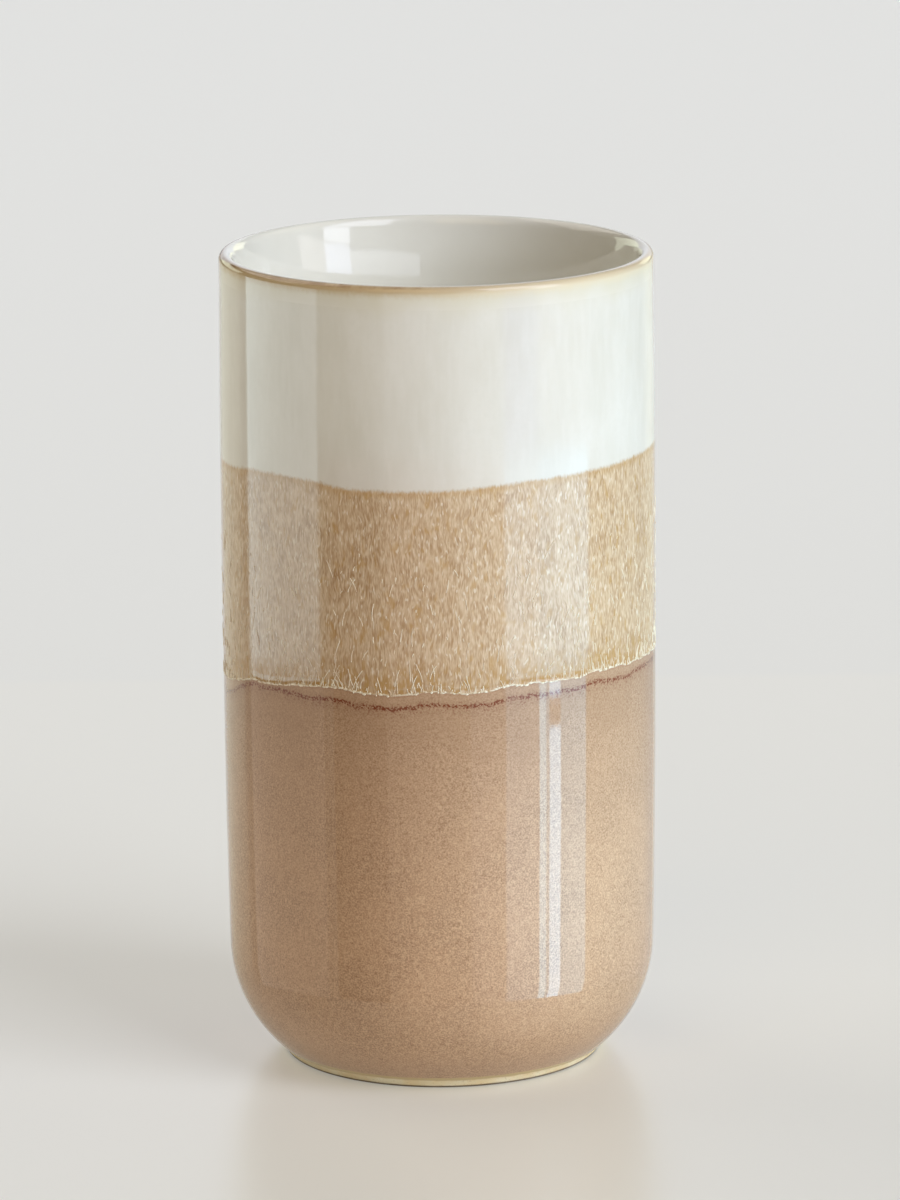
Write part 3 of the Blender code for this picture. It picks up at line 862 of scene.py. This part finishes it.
def running_tree():
    tree, nodes, given = tree_with("threads_and_drops", (
        ("Threads", "Int", 1150),
        ("Thread Points", "Int", 7),
        ("Shortest", "Float", 0.0004),
        ("Longest", "Float", 0.0034),
        ("Scatter", "Float", 0.0220),
        ("Lean", "Float", 0.40),
        ("Bend", "Float", 0.35),
        ("Thickness", "Float", 0.000066),
        ("Thread Sides", "Int", 5),
        ("Drops", "Int", 270),
        ("Drop Size", "Float", 0.00025),
        ("Drop Sides", "Int", 7),
        ("Drop Rings", "Int", 5),
        ("Unevenness", "Float", UNEVENNESS),
        ("Seed", "Int", 3),
        ("Material", "Material", None),
    ))
    seed = given.beside("Seed")

    def drawn(who, low, high, lot):
        """A random number between two values for each piece. The node has sockets of one name for each
        kind of value, so they go by number."""
        sockets = {2: low, 3: high, 7: who, 8: seed + lot}
        return nodes.add("FunctionNodeRandomValue", {"data_type": "FLOAT"}, sockets, output=1)

    def on_wall(turn, height):
        """A place on the wall, which follows its unevenness."""
        cosine = turn.worked("COSINE", turn * math.tau)
        sine = turn.worked("SINE", turn * math.tau)
        true = nodes.add("ShaderNodeCombineXYZ", {}, {"X": cosine * RADIUS, "Y": sine * RADIUS, "Z": height})
        radius = out_of_true(nodes, true, given.beside("Unevenness")) + RADIUS
        return nodes.add("ShaderNodeCombineXYZ", {}, {"X": radius * cosine, "Y": radius * sine, "Z": height})

    # Threads: each is a line of points that rises, leans and bends a little. Those whose draw for the
    # start is below 0, about a quarter, rise from the bead.
    steps = given.beside("Thread Points")
    strand = nodes.add("GeometryNodeMeshLine", {}, {"Count": steps})
    starts = nodes.add("GeometryNodeMeshLine", {}, {"Count": given})
    strands = nodes.add("GeometryNodeInstanceOnPoints", {}, {"Points": starts, "Instance": strand})
    strands = nodes.add("GeometryNodeRealizeInstances", {}, {"Geometry": strands})
    index = nodes.add("GeometryNodeInputIndex")
    who = index.worked("FLOOR", (index + 0.5) / steps)
    up = (index - who * steps) / (steps - 1)
    turn = drawn(who, 0.0, 1.0, lot=0)
    long = drawn(who, 0.0, 1.0, lot=1)
    length = given.beside("Shortest") + (given.beside("Longest") - given.beside("Shortest")) * long ** 3.0
    start = given.beside("Scatter") * drawn(who, -BEAD_ODDS, 1.0, lot=8).larger(0.0) ** 2.0
    leaned = drawn(who, -1.0, 1.0, lot=2) * given.beside("Lean")
    bent = up * drawn(who, -1.0, 1.0, lot=3) * given.beside("Bend")
    aside = (leaned + bent) * up * length
    turn = turn + aside / (math.tau * RADIUS)
    place = on_wall(turn, dip_lines(nodes, turn)[1] + start + up * length)
    strands = nodes.add("GeometryNodeSetPosition", {}, {"Geometry": strands, "Position": place})
    curves = nodes.add("GeometryNodeMeshToCurve", {}, {"Mesh": strands})
    along_thread = nodes.add("GeometryNodeSplineParameter", output="Factor")
    taper = THREAD_END + (1 - THREAD_END) * along_thread.worked("SINE", along_thread * math.pi)
    curves = nodes.add("GeometryNodeSetCurveRadius", {}, {"Curve": curves, "Radius": taper})
    ring = nodes.add("GeometryNodeCurvePrimitiveCircle", {"mode": "RADIUS"}, {
        "Resolution": given.beside("Thread Sides"), "Radius": given.beside("Thickness"),
    })
    threads = nodes.add("GeometryNodeCurveToMesh", {}, {
        "Curve": curves, "Profile Curve": ring, "Fill Caps": True,
    })

    # Drops: flattened beads of glaze, a little out of line.
    count = given.beside("Drops")
    points = nodes.add("GeometryNodeMeshLine", {}, {"Count": count})
    turn = (index + drawn(index, -DROP_SHIFT, DROP_SHIFT, lot=4)) / count
    place = on_wall(turn, dip_lines(nodes, turn)[1] + drawn(index, *DROP_HEIGHTS, lot=5))
    points = nodes.add("GeometryNodeSetPosition", {}, {"Geometry": points, "Position": place})
    drop = nodes.add("GeometryNodeMeshUVSphere", {}, {
        "Segments": given.beside("Drop Sides"), "Rings": given.beside("Drop Rings"),
        "Radius": given.beside("Drop Size"),
    })
    facing = nodes.add("ShaderNodeCombineXYZ", {}, {"Z": turn * math.tau})
    size = nodes.add("ShaderNodeCombineXYZ", {}, {
        "X": DROP_FLATNESS, "Y": drawn(index, 0.5, 2.0, lot=6), "Z": drawn(index, 0.5, 1.0, lot=7),
    })
    drops = nodes.add("GeometryNodeInstanceOnPoints", {}, {
        "Points": points, "Instance": drop, "Rotation": facing, "Scale": size,
    })
    joined = nodes.add("GeometryNodeJoinGeometry")
    for part in (threads, drops):
        tree.links.new(part.socket, joined.socket.node.inputs["Geometry"])
    made = nodes.add("GeometryNodeRealizeInstances", {}, {"Geometry": joined})
    made = nodes.add(
        "GeometryNodeSetShadeSmooth",
        {"domain": "FACE"},
        {"Geometry": made, "Shade Smooth": True},
    )
    made = nodes.add("GeometryNodeSetMaterial", {}, {"Geometry": made, "Material": given.beside("Material")})
    nodes.add("NodeGroupOutput", {}, {"Piece": made})
    return tree


def thread_cream(nodes, place):
    cloud = nodes.noise(place, size=0.0016, detail=2.0, shift=41.0)
    return {"Base Color": nodes.blend(cloud.rise(0.30, 0.55), TAN_LIGHT, BEAD_CREAM)}


threads = grown(
    "threads_and_drops",
    bpy.data.meshes.new("threads_base"),
    running_tree(),
    {"Material": fired("thread_glaze", thread_cream, Roughness=0.15, IOR=1.5)},
)
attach(threads, "root")


# White glaze
# The upper band was dipped last, lip first, in an opaque off-white glaze. It lies over the tan glaze as far
# as the upper dip line, where it thins into a fringe.
def white(nodes, place):
    colour, _ = tan_threads(nodes, place)
    colour = broken_lip(nodes, place, under_white(nodes, place, colour))
    soft = nodes.noise(place, size=0.003, detail=1.0, stretch=2.0, shift=23.0)
    return {"Base Color": colour, "Normal": relief(nodes, soft, depth=0.00001)}


def white_side(depth, steps):
    points = outside_wall(depth, along(WHITE_LINE_HEIGHT, LIP_EDGE, steps))
    return dipped(points, WHITE_LINE_HEIGHT, LIP_EDGE, white_shares=(1.0, 0.0))


white_glaze = turned(
    "white_glaze_dipped",
    coat(white_side(0.0, steps=24), white_side(GLAZE_THICKNESS, steps=4))[::-1],
    fired("white_glaze", white, Roughness=0.08, IOR=1.5),
)
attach(white_glaze, "root")
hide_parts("white_glaze")


# Lip glaze
# Over the round of the lip the inside and outside coats run together into one thin coat, gold at the top
# and paler down both sides.
MEETING_RADII = (CREST_RADIUS - 0.0003, CREST_RADIUS + 0.0008)


def lip(nodes, place):
    outside = radius_of(nodes, place).rise(*MEETING_RADII)
    colour = nodes.blend(outside, inside_white(nodes, place), WHITE_BODY)
    soft = nodes.noise(place, size=0.004, detail=1.0, shift=9.0)
    return {"Base Color": broken_lip(nodes, place, colour), "Normal": relief(nodes, soft, depth=0.00001)}


def lip_side(depth, side_steps, crown_steps):
    inside = cavity_wall(depth, along(LIP_EDGE, lip_join_height(depth), side_steps)[:-1])
    outside = outside_wall(depth, along(LIP_CENTRE[1], LIP_EDGE, side_steps)[1:])
    return inside + crown(depth, crown_steps) + outside


lip_glaze = turned(
    "lip_glaze_broken",
    coat(
        lip_side(0.0, side_steps=6, crown_steps=20),
        lip_side(GLAZE_THICKNESS, side_steps=2, crown_steps=8),
    ),
    fired("lip_glaze", lip, Roughness=0.07, IOR=1.5),
)
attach(lip_glaze, "root")
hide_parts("lip_glaze")


# Studio
# The tumbler stands on a pale, satin floor among softboxes. Boards that glow or stay dark lie on the floor,
# where the camera doesn't see them, and the glazes mirror them as bright panes and dark gaps.
FLOOR_SIZE = 60.0
FLOOR_FRONT = (0.515, 0.511, 0.465)
FLOOR_BACK = (0.496, 0.499, 0.467)
FLOOR_GLOW = (0.98, 0.96, 0.90, 1.0)
FLOOR_CHANGE = (0.250, 0.258)


def floor_finish(nodes, place):
    away = nodes.add("ShaderNodeSeparateXYZ", {}, {"Vector": place}, output="Y")
    return {"Base Color": nodes.blend(away.rise(*FLOOR_CHANGE), FLOOR_FRONT, FLOOR_BACK)}


satin_floor = fired(
    "satin_floor",
    floor_finish,
    Roughness=0.28,
    IOR=1.5,
    Emission_Color=FLOOR_GLOW,
    Emission_Strength=0.24,
)
half = FLOOR_SIZE / 2
floor_mesh = bpy.data.meshes.new("floor")
corners = [(-half, -half, 0.0), (half, -half, 0.0), (half, half, 0.0), (-half, half, 0.0)]
floor_mesh.from_pydata(corners, [], [(0, 1, 2, 3)])
floor_mesh.materials.append(satin_floor)
floor = bpy.data.objects.new("floor", floor_mesh)
bpy.context.scene.collection.objects.link(floor)

SOFTBOX_DISTANCE = 6.0
WATTS_PER_RADIANCE = 4.0
BOARD_HEIGHT = 0.001
BOARD_STEP = 1.5
NEAR = (0.03, 0.28)
MIDDLE = (0.28, 0.50)
FAR = (0.50, 3.0)
PANE_GAP = (0.238, 0.262)


def softbox(name, azimuths, elevations, radiance, mirrored=True):
    """An upright panel of light, with its radiance in red, green and blue. Azimuths go from the front to
    the right, in degrees."""
    start, end = (math.radians(angle) for angle in azimuths)
    low, high = (SOFTBOX_DISTANCE * math.tan(math.radians(angle)) for angle in elevations)
    middle = (start + end) / 2
    brightest = max(radiance)
    light = bpy.data.lights.new(name, "AREA")
    light.shape = "RECTANGLE"
    light.size = 2 * SOFTBOX_DISTANCE * math.tan((end - start) / 2)
    light.size_y = high - low
    light.color = [part / brightest for part in radiance]
    light.energy = brightest * WATTS_PER_RADIANCE * light.size * light.size_y
    lamp = bpy.data.objects.new(name, light)
    bpy.context.scene.collection.objects.link(lamp)
    outward = Vector((math.sin(middle), -math.cos(middle), 0.0))
    upward = Vector((0.0, 0.0, 1.0))
    across = upward.cross(outward)
    turned_to = Matrix((across, upward, outward)).transposed().to_4x4()
    place = outward * SOFTBOX_DISTANCE + upward * ((low + high) / 2)
    lamp.matrix_world = Matrix.Translation(place) @ turned_to
    lamp.visible_camera = False
    lamp.visible_glossy = mirrored


def mirrored_from(turn, distance):
    """The place on the floor that the wall mirrors to the front at a turn, at a distance from the wall."""
    x = RADIUS * math.sin(turn) + distance * math.sin(2 * turn)
    y = -RADIUS * math.cos(turn) - distance * math.cos(2 * turn)
    return x, y, BOARD_HEIGHT


def lit_board(name, turns, reach, radiance):
    """A board that lies on the floor and glows upwards, where the camera doesn't see it. The wall mirrors
    it between two turns, in degrees from the front to the right."""
    steps = max(1, round((turns[1] - turns[0]) / BOARD_STEP))
    points = []
    for angle in along(math.radians(turns[0]), math.radians(turns[1]), steps):
        points.append(mirrored_from(angle, reach[0]))
        points.append(mirrored_from(angle, reach[1]))
    faces = [(2 * i, 2 * i + 1, 2 * i + 3, 2 * i + 2) for i in range(steps)]
    mesh = bpy.data.meshes.new(name)
    mesh.from_pydata(points, [], faces)
    material = bpy.data.materials.new(name)
    material.use_nodes = True
    nodes = Nodes(material.node_tree)
    brightest = max(radiance)
    colour = [part / brightest for part in radiance]
    glow = nodes.add("ShaderNodeEmission", {}, {"Color": (*colour, 1.0), "Strength": brightest})
    clear = nodes.add("ShaderNodeBsdfTransparent")
    under = nodes.add("ShaderNodeNewGeometry", output="Backfacing")
    sides = nodes.add("ShaderNodeMixShader", {}, {0: under, 1: glow, 2: clear})
    nodes.add("ShaderNodeOutputMaterial", {}, {"Surface": sides})
    mesh.materials.append(material)
    board = bpy.data.objects.new(name, mesh)
    bpy.context.scene.collection.objects.link(board)
    board.visible_camera = False
    board.visible_shadow = False


lit_board("left_room", (-60, -32), NEAR, (1.0, 0.9, 0.8))
lit_board("dark_doorway", (-29, -14), NEAR, (0.1, 0.1, 0.1))
lit_board("front_room", (-14, 8), NEAR, (0.6, 0.5, 0.4))
lit_board("curtain_shade", (8, 17.5), NEAR, (0.9, 0.8, 0.8))
lit_board("curtain", (17.5, 27), NEAR, (1.4, 1.8, 2.2))
lit_board("narrow_pane", (27, 29), NEAR, (3.5, 6.0, 7.5))
lit_board("window_bar", (29, 30), NEAR, (1.7, 3.0, 4.0))
lit_board("wide_pane", (30, 33.5), (NEAR[0], PANE_GAP[0]), (4.5, 7.5, 10.0))
lit_board("wide_pane_above", (30, 33.5), (PANE_GAP[1], NEAR[1]), (4.5, 7.5, 10.0))
lit_board("window_side", (33.5, 42), NEAR, (1.2, 2.5, 3.5))
lit_board("right_room", (42, 80), NEAR, (0.6, 0.6, 0.6))
lit_board("left_window", (-60, -33), (MIDDLE[0], FAR[1]), (2.2, 2.6, 2.7))
lit_board("dark_doorway_edge", (-30, -14), MIDDLE, (0.3, 0.2, 0.2))
lit_board("front_room_edge", (-14, 5), MIDDLE, (1.0, 0.7, 0.6))
lit_board("curtain_shade_edge", (5, 17.5), MIDDLE, (1.5, 1.3, 1.2))
lit_board("curtain_edge", (17.5, 27), MIDDLE, (2.8, 3.6, 4.3))
lit_board("window_edge", (27, 43), MIDDLE, (2.0, 3.3, 4.5))
lit_board("doorway_beyond", (-33, -14), FAR, (0.8, 1.0, 0.9))
lit_board("room_beyond", (-14, 17.5), FAR, (1.4, 1.6, 1.6))
lit_board("curtain_beyond", (17.5, 27), FAR, (0.8, 1.0, 1.7))

softbox("curtain_light", (10, 53), (8, 17.5), (1.7, 1.8, 2.0))
softbox("window_light", (53, 70), (8, 17.5), (3.5, 3.8, 4.8))
softbox("window_side_light", (70, 88), (8, 17.5), (1.5, 1.4, 1.4))
softbox("back_right", (142, 160), (5, 20), (1.5, 1.5, 1.1))
softbox("back", (160, 200), (3, 30), (0.75, 0.78, 0.85))
softbox("back_left", (-160, -127), (5, 20), (1.4, 1.5, 1.2))
softbox("window_top", (53, 70), (18, 28), (4.0, 4.2, 4.8))
softbox("window_haze", (34, 81), (18, 28), (3.4, 3.6, 3.1), mirrored=False)
softbox("high_left", (-150, -90), (30, 65), (1.4, 1.3, 1.2))
softbox("high_front", (-45, 0), (30, 65), (1.0, 0.7, 0.3))
softbox("high_right", (30, 75), (30, 65), (2.9, 3.0, 3.5))
softbox("high_back", (90, 135), (30, 65), (0.5, 0.5, 0.3))

world = bpy.data.worlds.new("studio")
world.use_nodes = True
bpy.context.scene.world = world
sky = Nodes(world.node_tree)
glow = sky.add("ShaderNodeBackground", {}, {"Color": (1.0, 1.0, 1.0, 1.0), "Strength": 0.0})
sky.add("ShaderNodeOutputWorld", {}, {"Surface": glow})


# Camera
# It looks down on the tumbler by about 13 degrees through a long lens, from a metre away.
CAMERA_PLACE = Vector((0.00033, -1.0150, 0.30688))
CAMERA_DOWN = 0.22516
CAMERA_RIGHT = 0.001424
CAMERA_ROLL = -0.00833
SENSOR = 36.0
LENS = 193.08
VIEW_DEPTH = 100.0

forward = Vector((
    math.sin(CAMERA_RIGHT) * math.cos(CAMERA_DOWN),
    math.cos(CAMERA_RIGHT) * math.cos(CAMERA_DOWN),
    -math.sin(CAMERA_DOWN),
))
rightward = Vector((math.cos(CAMERA_RIGHT), -math.sin(CAMERA_RIGHT), 0.0))
upward = rightward.cross(forward)
rolled_right = rightward * math.cos(CAMERA_ROLL) + upward * math.sin(CAMERA_ROLL)
rolled_up = upward * math.cos(CAMERA_ROLL) - rightward * math.sin(CAMERA_ROLL)
camera_data = bpy.data.cameras.new("camera")
camera_data.sensor_width = SENSOR
camera_data.lens = LENS
camera_data.clip_end = VIEW_DEPTH
camera = bpy.data.objects.new("camera", camera_data)
bpy.context.scene.collection.objects.link(camera)
camera_axes = Matrix((rolled_right, rolled_up, -forward)).transposed().to_4x4()
camera.matrix_world = Matrix.Translation(CAMERA_PLACE) @ camera_axes
bpy.context.scene.camera = camera
bpy.context.scene.view_settings.view_transform = "Standard"
